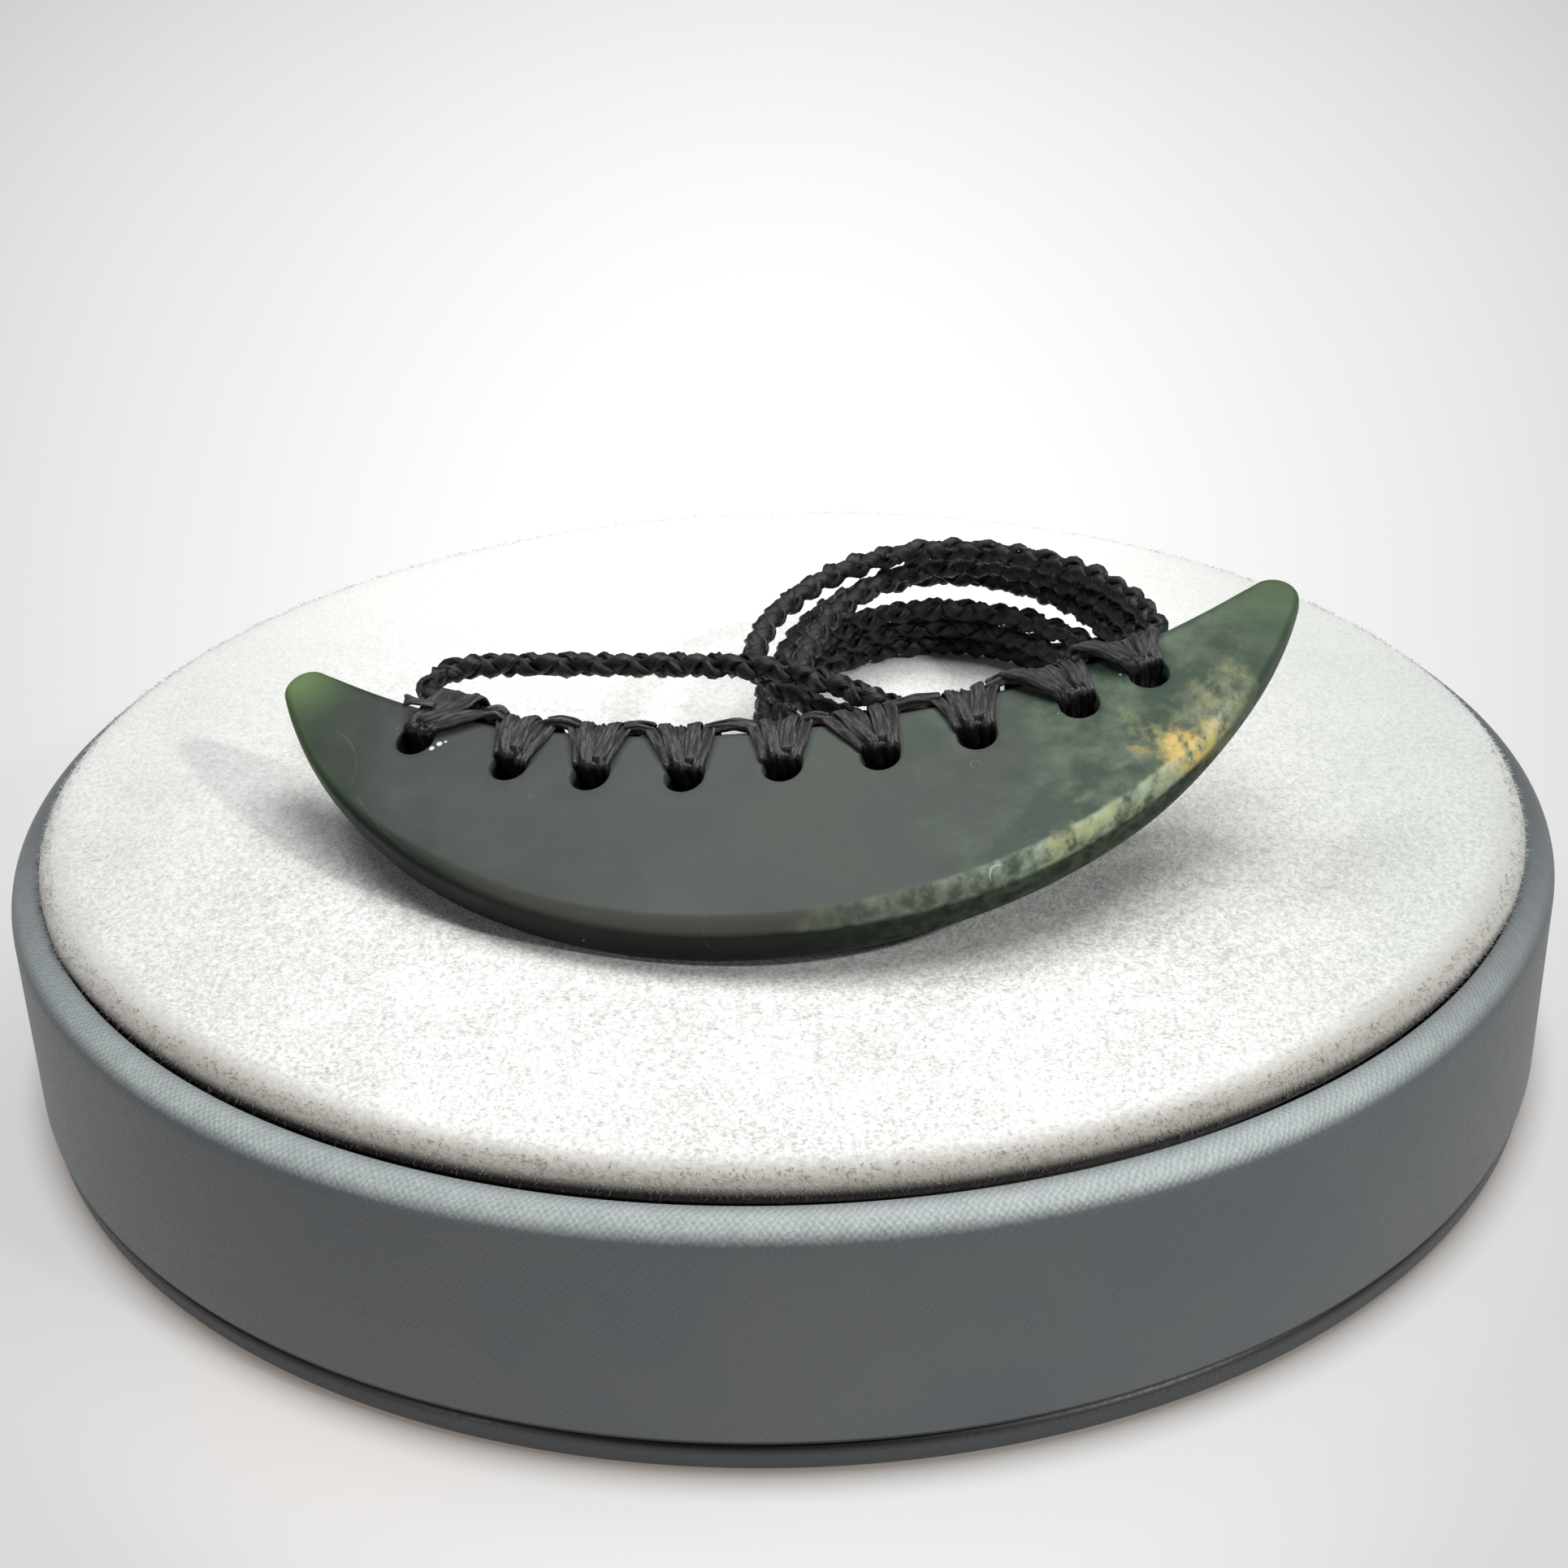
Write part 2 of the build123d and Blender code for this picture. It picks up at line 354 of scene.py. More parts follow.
def grainGroup():
    # fine uneven grain in any material, about 0.5
    inputs = {"Vector": "Vector", "Grain Size": "Float", "Detail": "Float", "Stretch": "Vector"}
    group, given = newTree("ShaderNodeTree", "fineGrain", inputs, {"Value": "Float"})
    value = field(group, "ShaderNodeTexNoise", {
        "Vector": given["Vector"].vector("MULTIPLY", given["Stretch"]), "Scale": 1.0 / given["Grain Size"],
        "Detail": given["Detail"], "Roughness": 0.6}, "Fac")
    addNode(group, "NodeGroupOutput", {"Value": value})
    return group


def weaveGroup():
    # crossed diagonal ribs of a cloth-backed leatherette, from a UV map in metres
    group, given = newTree("ShaderNodeTree", "diagonalWeave", {
        "Vector": "Vector", "Pitch": "Float", "Slope": "Float"}, {"Height": "Float"})
    x, y, _ = given["Vector"].parts()
    turns, climb = tau / given["Pitch"], y * given["Slope"]
    ribs = ((x + climb) * turns).math("SINE") + ((x - climb) * turns).math("SINE") * 0.55
    addNode(group, "NodeGroupOutput", {"Height": ribs})
    return group


fineGrain = grainGroup()
diagonalWeave = weaveGroup()


def grain(vector, size, detail=3.0, stretch=(1, 1, 1)):
    return field(vector.tree, "ShaderNodeGroup", {"Vector": vector, "Grain Size": size, "Detail": detail,
                                                  "Stretch": stretch}, node_tree=fineGrain)


# some of these colours are painted light: shade on the left of the face, light through the thin tips and
# shade on the standing edge
jadeLook = {"face": (0.062, 0.070, 0.066), "cloud": (0.070, 0.082, 0.072), "moss": (0.034, 0.056, 0.038),
            "mossPale": (0.110, 0.145, 0.100), "paintedTipLight": (0.046, 0.078, 0.038), "paintedTipGlow": (0.135, 0.225, 0.080),
            "bevel": (0.070, 0.068, 0.056), "bevelPale": (0.31, 0.39, 0.29), "deep": (0.003, 0.006, 0.004),
            "paintedShadeLeft": (0.047, 0.052, 0.051), "bevelDim": (0.070, 0.095, 0.070), "teal": (0.027, 0.042, 0.031),
            "paintedShadeGreen": (0.024, 0.044, 0.021), "gold": (0.56, 0.40, 0.12), "olive": (0.28, 0.285, 0.155),
            "straw": (0.36, 0.35, 0.14), "mark": (0.50, 0.54, 0.46), "glue": (0.75, 0.76, 0.76),
            "roughness": 0.45, "specular": 0.10, "bevelWide": 1.25}
# soft patches on the stone: place, half sizes, slant in degrees, colour, strength
jadePatches = (((34.0, -24.6), (4.6, 2.6), 60, "olive", 0.62), ((30.0, -31.6), (4.8, 1.5), 38, "olive", 0.55),
               ((29.3, -27.8), (2.8, 1.1), -52, "straw", 0.85), ((31.8, -29.0), (3.5, 2.2), 14, "gold", 1.0),
               ((34.8, -28.2), (2.6, 1.4), 40, "straw", 0.8), ((22.6, -37.2), (2.8, 1.1), 32, "straw", 0.75),
               ((25.3, -35.2), (2.4, 0.6), 34, "straw", 0.5),
               ((23.4, -33.6), (1.3, 0.5), 30, "mossPale", 0.9),
               ((26.4, -30.4), (1.0, 0.45), 40, "mossPale", 0.9))
# long faint scratches: an arc's middle and radius, then the spot of it that shows
jadeScratches = (((-40.56, -23.54), 6.64, (-34.6, -21.9), (3.0, 4.4), 0),
                 ((-11.3, -14.6), 24.96, (-30.4, -30.2), (6.0, 3.4), -50))
curlMark = (16.8, -40.35, 0.75)  # a small curled scratch by the bevel: x, y, radius
glueSpots = ((0, 2.0, -0.5, 0.24), (0, 2.35, 0.1, 0.30), (0, 2.7, 0.45, 0.16), (7, -1.95, -0.4, 0.12),
             (8, -2.0, 0.9, 0.12))  # hole, x and y from its middle, radius


def jadeMaterial():
    look = jadeLook
    material, tree, shader = newMaterial("jadeStone", {
        "Roughness": look["roughness"], "IOR": 1.61, "Subsurface Weight": 0.10, "Subsurface Scale": 0.0010,
        "Subsurface Radius": (0.5, 1.0, 0.45), "Specular IOR Level": look["specular"]})
    world = field(tree, "ShaderNodeTexCoord", output="Object")
    lying = {"Vector": world, "Location": [v * mm for v in shield["place"]],
             "Rotation": tuple(shieldPose.to_euler("XYZ"))}
    local = field(tree, "ShaderNodeMapping", lying, vector_type="TEXTURE")
    u, v, w = local.parts()
    rough = grain(local, 0.0020, 6.0).between(0.3, 0.7, -0.55, 0.55)

    def farFrom(x, y):
        # distance in the plate's plane, in mm
        return distance(u / mm - x, v / mm - y)

    def spotAt(place, size, slant):
        # a soft uneven spot on the face: 1 at its middle, 0 past its edge
        du, dv = u - place[0] * mm, v - place[1] * mm
        c, s = cos(radians(slant)), sin(radians(slant))
        far = distance((du * c + dv * s) / (size[0] * mm), (dv * c - du * s) / (size[1] * mm))
        return (far + rough).between(1.25, 0.30)

    clouds = grain(local, 0.010, 4.0)
    drift = clouds.between(0.3, 0.7, -0.005, 0.005)
    moss = grain(local, 0.0030, 6.0).between(0.42, 0.70).mix(look["moss"], look["mossPale"])
    atTips = (u.math("ABSOLUTE") + drift * 0.5).between(0.030, 0.042)
    fromLower = shield["lowerRadius"] - farFrom(0, 0)
    fromEdge = fromLower.math("MINIMUM", farFrom(0, upperCentre) - shield["upperRadius"])
    fromTip = farFrom(-tipX - 1, tipY + 1).math("MINIMUM", farFrom(tipX, tipY))
    # painted glow of light through the thin stone, at the tips and along the left edge
    glow = fromTip.between(7.5, 1.0).math("POWER", 1.7) * u.between(-0.001, 0.001, 0.9, 0.22)
    paintedRimGlow = fromEdge.between(0.9, 0.0) * u.between(-0.030, -0.040, 0.0, 0.45)
    # the bevel round the lower edge: brown-grey, pale and flecked to the right
    fibres = grain(local, 0.0010, 6.0, (1.0, 0.5, 1.0))
    blots = grain(local, 0.0026, 4.0).between(0.3, 0.7, -0.16, 0.16)
    pale = (fibres + blots).between(0.38, 0.68).mix(look["bevelDim"], look["bevelPale"])
    onBevel = fromLower.between(look["bevelWide"], look["bevelWide"] - 0.3)
    leftBevel = u.between(-0.030, -0.020) * u.between(0.036, 0.030, 0.0, 0.8)
    rightBevel = (u + drift).between(0.001, 0.024) * u.between(0.0365, 0.0335)
    # painted shade: the standing edge and the hole walls are darkened nearly to black, a little greener to
    # the right
    level = w + (u + drift).between(0.002, 0.014, 0.0, 0.0008)
    paintedWallShade = level.between(0.0042, 0.0037) * atTips.between(0.9, 0.2, 0.25, 0.97)
    paintedShadeGreen = fibres.between(0.40, 0.62).mix(look["deep"], look["paintedShadeGreen"])
    # fine scratches and dust
    line = (grain(local, 0.0075, 1.0) - 0.52).math("ABSOLUTE").between(0.0016, 0.0)
    line *= grain(local, 0.0035, 2.0).between(0.55, 0.62, 0.0, 0.10)
    curl = (farFrom(*curlMark[:2]) - curlMark[2]).math("ABSOLUTE").between(0.09, 0.03)
    curl *= u.between(0.0170, 0.0166, 0.0, 0.6) * fromLower.between(0.1, 0.3)
    cells = addNode(tree, "ShaderNodeTexVoronoi", {"Vector": local, "Scale": 420.0}).outputs
    few = Field(tree, cells["Color"]).parts()[0].between(0.86, 0.87)
    dust = Field(tree, cells["Distance"]).between(0.045, 0.02, 0.0, 0.5) * few
    marks = line.math("MAXIMUM", curl).math("MAXIMUM", dust)
    for centre, radius, place, size, slant in jadeScratches:
        ring = (farFrom(*centre) - radius).math("ABSOLUTE") + rough * 0.12
        marks = marks.math("MAXIMUM", ring.between(0.09, 0.02, 0.0, 0.045) * spotAt(place, size, slant))
    patches = [(spotAt(place, size, slant) * strength * fibres.between(0.36, 0.58), name)
               for place, size, slant, name, strength in jadePatches]
    glue = []
    for hole, x, y, radius in glueSpots:
        spot = holeFrame(hole) @ Vector((x, y, 0))
        lump = farFrom(spot.x, spot.y) + rough * 0.2
        glue.append((lump.between(radius, radius * 0.6, 0.0, 0.9), "glue"))
    colour = layered(look, look["face"], (clouds.between(0.38, 0.66), "cloud"),
                     # painted shade: the face darker towards the left
                     ((u + drift).between(-0.010, -0.028), "paintedShadeLeft"),
                     ((u + drift * 1.8).between(0.010, 0.027, 0.0, 0.95), moss),
                     # painted light through the thin tips, greener there
                     (atTips * u.between(-0.001, 0.001, 0.85, 0.45), "paintedTipLight"),
                     (u.between(0.030, 0.040, 0.0, 0.5), "teal"),
                     (fromLower.between(3.6, 0.4) * u.between(-0.012, -0.026, 0.0, 0.75), "teal"),
                     (glow.math("MAXIMUM", paintedRimGlow), "paintedTipGlow"), (onBevel * leftBevel, "bevel"),
                     (onBevel * rightBevel, pale), *patches,
                     (paintedWallShade, u.between(0.002, 0.016).mix(look["deep"], paintedShadeGreen)), (marks, "mark"), *glue)
    polish = grain(local, 0.004, 5.0).between(0.3, 0.7, look["roughness"] - 0.07, look["roughness"] + 0.07)
    setInputs(shader, {"Base Color": colour, "Roughness": polish,
                       "Normal": bump(grain(local, 0.0009, 6.0), 0.06, 0.0002)})
    return material


threadLook = {"dark": (0.008, 0.007, 0.008), "light": (0.118, 0.108, 0.116), "roughness": 0.58,
              "specular": 0.35, "right": 0.75}
cordLook = {"dark": (0.0015, 0.0015, 0.002), "light": (0.030, 0.030, 0.034), "roughness": 0.40,
            "specular": 0.34, "right": 1.0}


def waxedMaterial(name, look):
    # waxed thread: fine fibres along each strand, black in its folds as painted shade, wet with glue where it
    # enters a hole
    material, tree, shader = newMaterial(name, {
        "Sheen Weight": 0.04, "Sheen Roughness": 0.4, "Specular IOR Level": look["specular"]})
    place = field(tree, "ShaderNodeAttribute", output="Vector", attribute_name="strandPlace")
    fold = field(tree, "ShaderNodeAttribute", output="Fac", attribute_name="fold")
    glue = field(tree, "ShaderNodeAttribute", output="Fac", attribute_name="glue")
    fibre = grain(place, 0.00011, 3.0, (1.0, 1.0, 0.06))
    wear = grain(place, 0.0011, 4.0, (1.0, 1.0, 0.5))
    grit = grain(place, 0.00022, 4.0, (1.0, 1.0, 0.4))
    wet = (glue + wear.between(0.3, 0.7, -0.2, 0.2)).between(0.35, 0.75)
    share = fibre.between(0.34, 0.66, 0.25, 1.0)
    for more in (wear.between(0.32, 0.60, 0.25, 1.0), grit.between(0.36, 0.60, 0.30, 1.15),
                 # painted shade: black in the folds
                 fold.between(0.40, 0.54), wet.between(0.0, 1.0, 1.0, 0.12),
                 objectPlace(tree)[1].between(-0.004, 0.014, 1.0, look["right"])):
        share *= more
    dry = wear.between(0.35, 0.65, look["roughness"] + 0.12, look["roughness"] - 0.1)
    setInputs(shader, {"Base Color": share.mix(look["dark"], look["light"]),
                       "Roughness": wet.between(0.0, 1.0, dry, 0.22),
                       "Normal": bump(fibre + grit * 1.3, 0.9, 0.00009)})
    return material


# some of these colours are painted light: the highlight over the rim, and shade at the far right, in the
# groove and inside the lip
wrapLook = {"grey": (0.088, 0.099, 0.109), "warm": (0.103, 0.110, 0.115), "blotch": (0.11, 0.12, 0.125),
            "ribs": (0.16, 0.17, 0.18), "paintedHighlight": (0.47, 0.52, 0.52), "paintedShadeRight": (0.050, 0.056, 0.062),
            "groove": (0.003, 0.003, 0.004), "foot": (0.02, 0.02, 0.02), "paintedLipShade": (0.004, 0.004, 0.004),
            "roughness": 0.42, "pitch": 0.00055, "slope": 0.8, "uneven": 0.00035, "highlightLow": 0.0190,
            "highlightHigh": 0.0199, "grooveLow": 0.00200, "grooveHigh": 0.0031}


def leatheretteMaterial():
    # woven-backed leatherette, with a painted highlight over the rim, brightest at the front, and painted
    # shade in the groove
    look = wrapLook
    material, tree, shader = newMaterial("greyLeatherette", {})
    world, x, y, z = objectPlace(tree)
    fine = grain(world, 0.00035, 4.0)
    mottle = grain(world, 0.02, 3.0)
    blotch = grain(world, 0.0016, 4.0)
    uneven = grain(world, 0.0009, 3.0).between(0.0, 1.0, -look["uneven"], look["uneven"])
    flat = field(tree, "ShaderNodeUVMap", uv_map="wrapMap")
    drawn = flat.vector("ADD", field(tree, "ShaderNodeCombineXYZ", {"X": uneven, "Y": uneven}))
    weave = field(tree, "ShaderNodeGroup", {"Vector": drawn, "Pitch": look["pitch"], "Slope": look["slope"]},
                  node_tree=diagonalWeave)
    # painted highlight over the rounded rim, strongest on its outer side and at the front
    paintedRimHighlight = (z + fine.between(0.3, 0.7, -0.00009, 0.00009)).between(look["highlightLow"], look["highlightHigh"])
    reach = distance(x, y)
    for share in (reach.between(0.0626, 0.0646, 0.24, 1.0), y.between(-0.006, -0.046, 0.12, 1.0),
                  (weave + blotch.between(0.3, 0.7, -0.8, 0.8)).between(-1.4, 1.4, 0.62, 1.0)):
        paintedRimHighlight *= share
    # painted shade in the groove above the foot
    low, high = look["grooveLow"], look["grooveHigh"]
    inGroove = z.between(low - 0.0003, low) * z.between(high + 0.0001, high)
    colour = layered(look, look["grey"], (mottle.between(0.35, 0.65), "warm"),
                     (blotch.between(0.35, 0.7, 0.0, 0.10), "blotch"),
                     (weave.between(-0.2, 1.5, 0.0, 0.05), "ribs"), (paintedRimHighlight, "paintedHighlight"),
                     # painted shade towards the far right of the drum
                     (x.between(0.036, 0.063, 0.0, 0.55), "paintedShadeRight"), (inGroove * 0.97, "groove"),
                     (z.between(low, low - 0.0003, 0.0, 0.55), "foot"),
                     # painted shade in the gap inside the rim's lip, at the front
                     (reach.between(0.06252, 0.06243) * y.between(-0.010, -0.035), "paintedLipShade"))
    relief = (weave * 0.36 + fine * 1.5) * inGroove.between(0.0, 0.3, 1.0, 0.0)
    setInputs(shader, {"Base Color": colour, "Normal": bump(relief, 0.5, 0.00005), "Roughness":
                       fine.between(0.3, 0.7, look["roughness"] - 0.06, look["roughness"] + 0.08)})
    return material


# some of these colours are painted shade: at the sides, to the right, on the rolled edge and in the gap under
# it
suedeLook = {"pile": (0.91, 0.905, 0.885), "shade": (0.40, 0.40, 0.39), "paintedRollShade": (0.34, 0.315, 0.285),
             "paintedSideShade": (0.34, 0.36, 0.35), "right": (0.36, 0.40, 0.37), "paintedGapShade": (0.015, 0.013, 0.012),
             "napSize": 0.00026, "streakSize": 0.00055}


def suedeMaterial():
    # short brushed nap: fine pale and grey flecks, with painted shade, brownish, where the edge rolls under
    look = suedeLook
    material, tree, shader = newMaterial("paleSuede", {"Roughness": 0.95, "Sheen Weight": 0.25,
                                                       "Sheen Roughness": 0.6, "Specular IOR Level": 0.1})
    world, x, y, z = objectPlace(tree)
    nap = grain(world, look["napSize"], 4.0)
    streak = grain(world, look["streakSize"], 4.0, (1.25, 0.8, 1.0))
    flecks = nap * 0.55 + streak * 0.45 + grain(world, 0.011, 3.0).between(0.3, 0.7, -0.035, 0.035)
    inFront = y.between(0.0, -0.045)
    rolled = distance(x, y) + nap.between(0.3, 0.7, -0.0004, 0.0004) + inFront.between(0.0, 1.0, -0.0006, 0.0)
    colour = layered(look, look["pile"],
                     # painted light: the flecks fade towards the back, so the back of the pad is lighter
                     (flecks.between(0.59, 0.335) * y.between(0.035, -0.020, 0.30, 1.0), "shade"),
                     # painted shade towards the left and right of the pad
                     ((x - 0.004).math("ABSOLUTE").between(0.026, 0.058, 0.0, 0.42), "paintedSideShade"),
                     # more painted shade towards the right of the pad
                     (x.between(0.026, 0.048, 0.0, 0.32), "right"),
                     # painted shade, brownish, on the rolled edge, strongest at the front
                     (rolled.between(0.0589, 0.0613) * inFront.between(0.0, 1.0, 0.12, 1.0), "paintedRollShade"),
                     # painted shade down in the gap below the roll, at the front
                     (z.between(0.0212, 0.0205) * inFront.between(0.0, 0.8, 0.1, 1.0), "paintedGapShade"))
    setInputs(shader, {"Base Color": colour, "Normal": bump(flecks, 0.9, 0.00026)})
    return material


jade = jadeMaterial()
waxedThread = waxedMaterial("waxedThread", threadLook)
cordThread = waxedMaterial("plaitedCord", cordLook)
leatherette = leatheretteMaterial()
suede = suedeMaterial()
print("materials made")


# Geometry Nodes trees
def strandTree(name, more):
    tree, given = newTree("GeometryNodeTree", name, {
        "Geometry": "Geometry", "Strand Width": "Float", "Strand Thickness": "Float", "Fold Size": "Float",
        "Fold Depth": "Float", "Corners": "Int", "Material": "Material", **more}, {"Geometry": "Geometry"})
    return tree, given, field(tree, "GeometryNodeMeshToCurve", {"Mesh": given["Geometry"]})


def finishStrand(line, given, along, index):
    # sweeps a flat rounded strand along a line and keeps each point's place on the strand for the fibres
    tree = line.tree
    circle = {"Resolution": given["Corners"], "Radius": 0.5}
    ring = field(tree, "GeometryNodeCurvePrimitiveCircle", circle, "Curve")
    size = {"X": given["Strand Thickness"], "Y": given["Strand Width"], "Z": 1.0}
    ring = field(tree, "GeometryNodeTransform", {"Geometry": ring,
                                                 "Scale": field(tree, "ShaderNodeCombineXYZ", size)})
    ring, rim = capture(ring, rim=field(tree, "GeometryNodeInputPosition"))
    mesh = field(tree, "GeometryNodeCurveToMesh", {"Curve": line, "Profile Curve": ring, "Fill Caps": True})
    x, y, _ = rim.parts()
    place = field(tree, "ShaderNodeCombineXYZ", {"X": x, "Y": y, "Z": along + index * 0.137})
    # lengthwise folds: the surface goes in and out with a noise drawn out along the strand
    drawn = {"Vector": place.vector("MULTIPLY", (1.0, 1.0, 0.10)), "Scale": 1.0 / given["Fold Size"],
             "Detail": 1.0}
    folds = field(tree, "ShaderNodeTexNoise", drawn, "Fac")
    for name, kind, value in (("strandPlace", "FLOAT_VECTOR", place), ("fold", "FLOAT", folds)):
        stored = {"Geometry": mesh, "Name": name, "Value": value}
        mesh = field(tree, "GeometryNodeStoreNamedAttribute", stored, data_type=kind)
    push = field(tree, "GeometryNodeInputNormal").scaled((folds - 0.5) * given["Fold Depth"])
    mesh = field(tree, "GeometryNodeSetPosition", {"Geometry": mesh, "Offset": push})
    mesh = field(tree, "GeometryNodeSetShadeSmooth", {"Geometry": mesh})
    mesh = field(tree, "GeometryNodeRealizeInstances", {"Geometry": mesh})
    mesh = field(tree, "GeometryNodeSetMaterial", {"Geometry": mesh, "Material": given["Material"]})
    addNode(tree, "NodeGroupOutput", {"Geometry": mesh})
    return tree


def plaitTree():
    # four flat strands plaited round a path: two wind each way, each over and under in turn
    tree, given, line = strandTree("plaitedCord", {"Lay Length": "Float", "Core Radius": "Float",
                                                   "Swing": "Float", "Step": "Float"})
    line = field(tree, "GeometryNodeResampleCurve", {"Curve": line, "Length": given["Step"]}, mode="LENGTH")
    line, along, normal, tangent = capture(
        line, along=field(tree, "GeometryNodeSplineParameter", output="Length"),
        normal=field(tree, "GeometryNodeInputNormal"), tangent=field(tree, "GeometryNodeInputTangent"))
    four = addNode(tree, "GeometryNodeDuplicateElements", {"Geometry": line, "Amount": 4}, domain="SPLINE")
    line, index = [Field(tree, four.outputs[name]) for name in ("Geometry", "Duplicate Index")]
    line, index = capture(line, "CURVE", index=index)
    way = 1.0 - index.math("GREATER_THAN", 1.5) * 2.0
    run = along * tau / given["Lay Length"]
    angle = run * way + index.math("MODULO", 2.0) * pi
    reach = (run * 2.0).math("COSINE") * way * given["Swing"] + given["Core Radius"]
    side = tangent.vector("CROSS_PRODUCT", normal)
    outward = normal.scaled(angle.math("COSINE")).vector("ADD", side.scaled(angle.math("SINE")))
    line, outward = capture(line, outward=outward)
    line = field(tree, "GeometryNodeSetPosition", {"Geometry": line, "Offset": outward.scaled(reach)})
    line = field(tree, "GeometryNodeSetCurveNormal", {"Curve": line, "Normal": outward}, mode="FREE")
    return finishStrand(line, given, along, index)


def threadTree():
    # flat threads along lines that lie in planes across local Z
    tree, given, line = strandTree("flatThread", {})
    line = field(tree, "GeometryNodeSetCurveNormal", {"Curve": line}, mode="Z_UP")
    line, along = capture(line, along=field(tree, "GeometryNodeSplineParameter", output="Length"))
    line, index = capture(line, "CURVE", index=field(tree, "GeometryNodeInputIndex"))
    return finishStrand(line, given, along, index)


plaitedCord = plaitTree()
flatThread = threadTree()
print("geometry trees made")


def bakeThreads(name, lines, width, thickness, corners, material, foldDepth):
    return bakeTree(flatThread, pathObject("threadPath", lines), name, {
        "Strand Width": width * mm, "Strand Thickness": thickness * mm, "Corners": corners,
        "Fold Size": lashing["foldSize"] * mm, "Fold Depth": foldDepth * mm, "Material": material})


# the neck cord
cordLine = splineLine(cordPoints())
neckCord = bakeTree(plaitedCord, pathObject("cordPath", [(cordLine, False)]), "neck_cord_plait", {
    "Lay Length": cord["layLength"] * mm, "Swing": cord["swing"] * mm, "Step": cord["step"] * mm,
    "Core Radius": (cord["diameter"] / 2 + cord["bulk"] - cord["strandThickness"] / 2 - cord["swing"]) * mm,
    "Strand Width": cord["strandWidth"] * mm, "Strand Thickness": cord["strandThickness"] * mm,
    "Fold Size": cord["foldSize"] * mm, "Fold Depth": cord["foldDepth"] * mm,
    "Corners": cord["corners"], "Material": cordThread})
turnOutwards(neckCord)
finishPiece(neckCord, "cord", "neck_cord", "cord_coil", "cord_tail")


# the jade shield
plateMesh = {"lowerPoints": 230, "tipPoints": 26, "upperPoints": 170, "grid": 0.75, "holePoints": 40,
             "far": 9.0, "insets": (0.0, 0.04, 0.13, 0.27, 0.45, 0.68, 0.95, 1.2, 1.5),
             "holeInsets": (0.0, 0.04, 0.12, 0.25), "holeRound": 0.25, "waist": 0.12, "ripple": 0.03,
             "rippleFrom": 1.2, "rippleSeed": 3.7, "bevel": 1.15, "bevelPower": 1.45, "taperFrom": 27.0,
             "taperTo": 37.0, "taper": 0.75, "taperDeep": 7.0}


def outline(inset):
    # the plate's edge, this far inside it, clockwise from the right tip
    low = atan2(tipY, tipX)
    rise = atan2(upperCentre - tipY, -tipX)
    start = atan2(tipY - upperCentre, -tipX)
    points = []
    for cx, cy, radius, a, b, count in (
            (0, 0, shield["lowerRadius"] - inset, low, -pi - low, plateMesh["lowerPoints"]),
            (-tipX, tipY, shield["tipRound"] - inset, -pi - low, -pi - rise, plateMesh["tipPoints"]),
            (0, upperCentre, shield["upperRadius"] + inset, start, -pi - start, plateMesh["upperPoints"]),
            (tipX, tipY, shield["tipRound"] - inset, rise, low, plateMesh["tipPoints"])):
        angles = [a + (b - a) * k / count for k in range(count)]
        points += [(cx + radius * cos(angle), cy + radius * sin(angle)) for angle in angles]
    return points


def insideDepth(x, y):
    # how far inside the edge a point is; less than zero outside
    toward = atan2(y - tipY, abs(x) - tipX)
    if atan2(tipY, tipX) < toward < atan2(upperCentre - tipY, -tipX):
        return shield["tipRound"] - hypot(abs(x) - tipX, y - tipY)
    return min(shield["lowerRadius"] - hypot(x, y), hypot(x, y - upperCentre) - shield["upperRadius"])


def roundOff(depth, radius, power=2.0):
    # how far a rounded edge falls; a power under 2 flattens the round towards a bevel
    if depth >= radius:
        return 0.0
    return radius - max(0.0, radius ** power - (radius - max(depth, 0.0)) ** power) ** (1 / power)


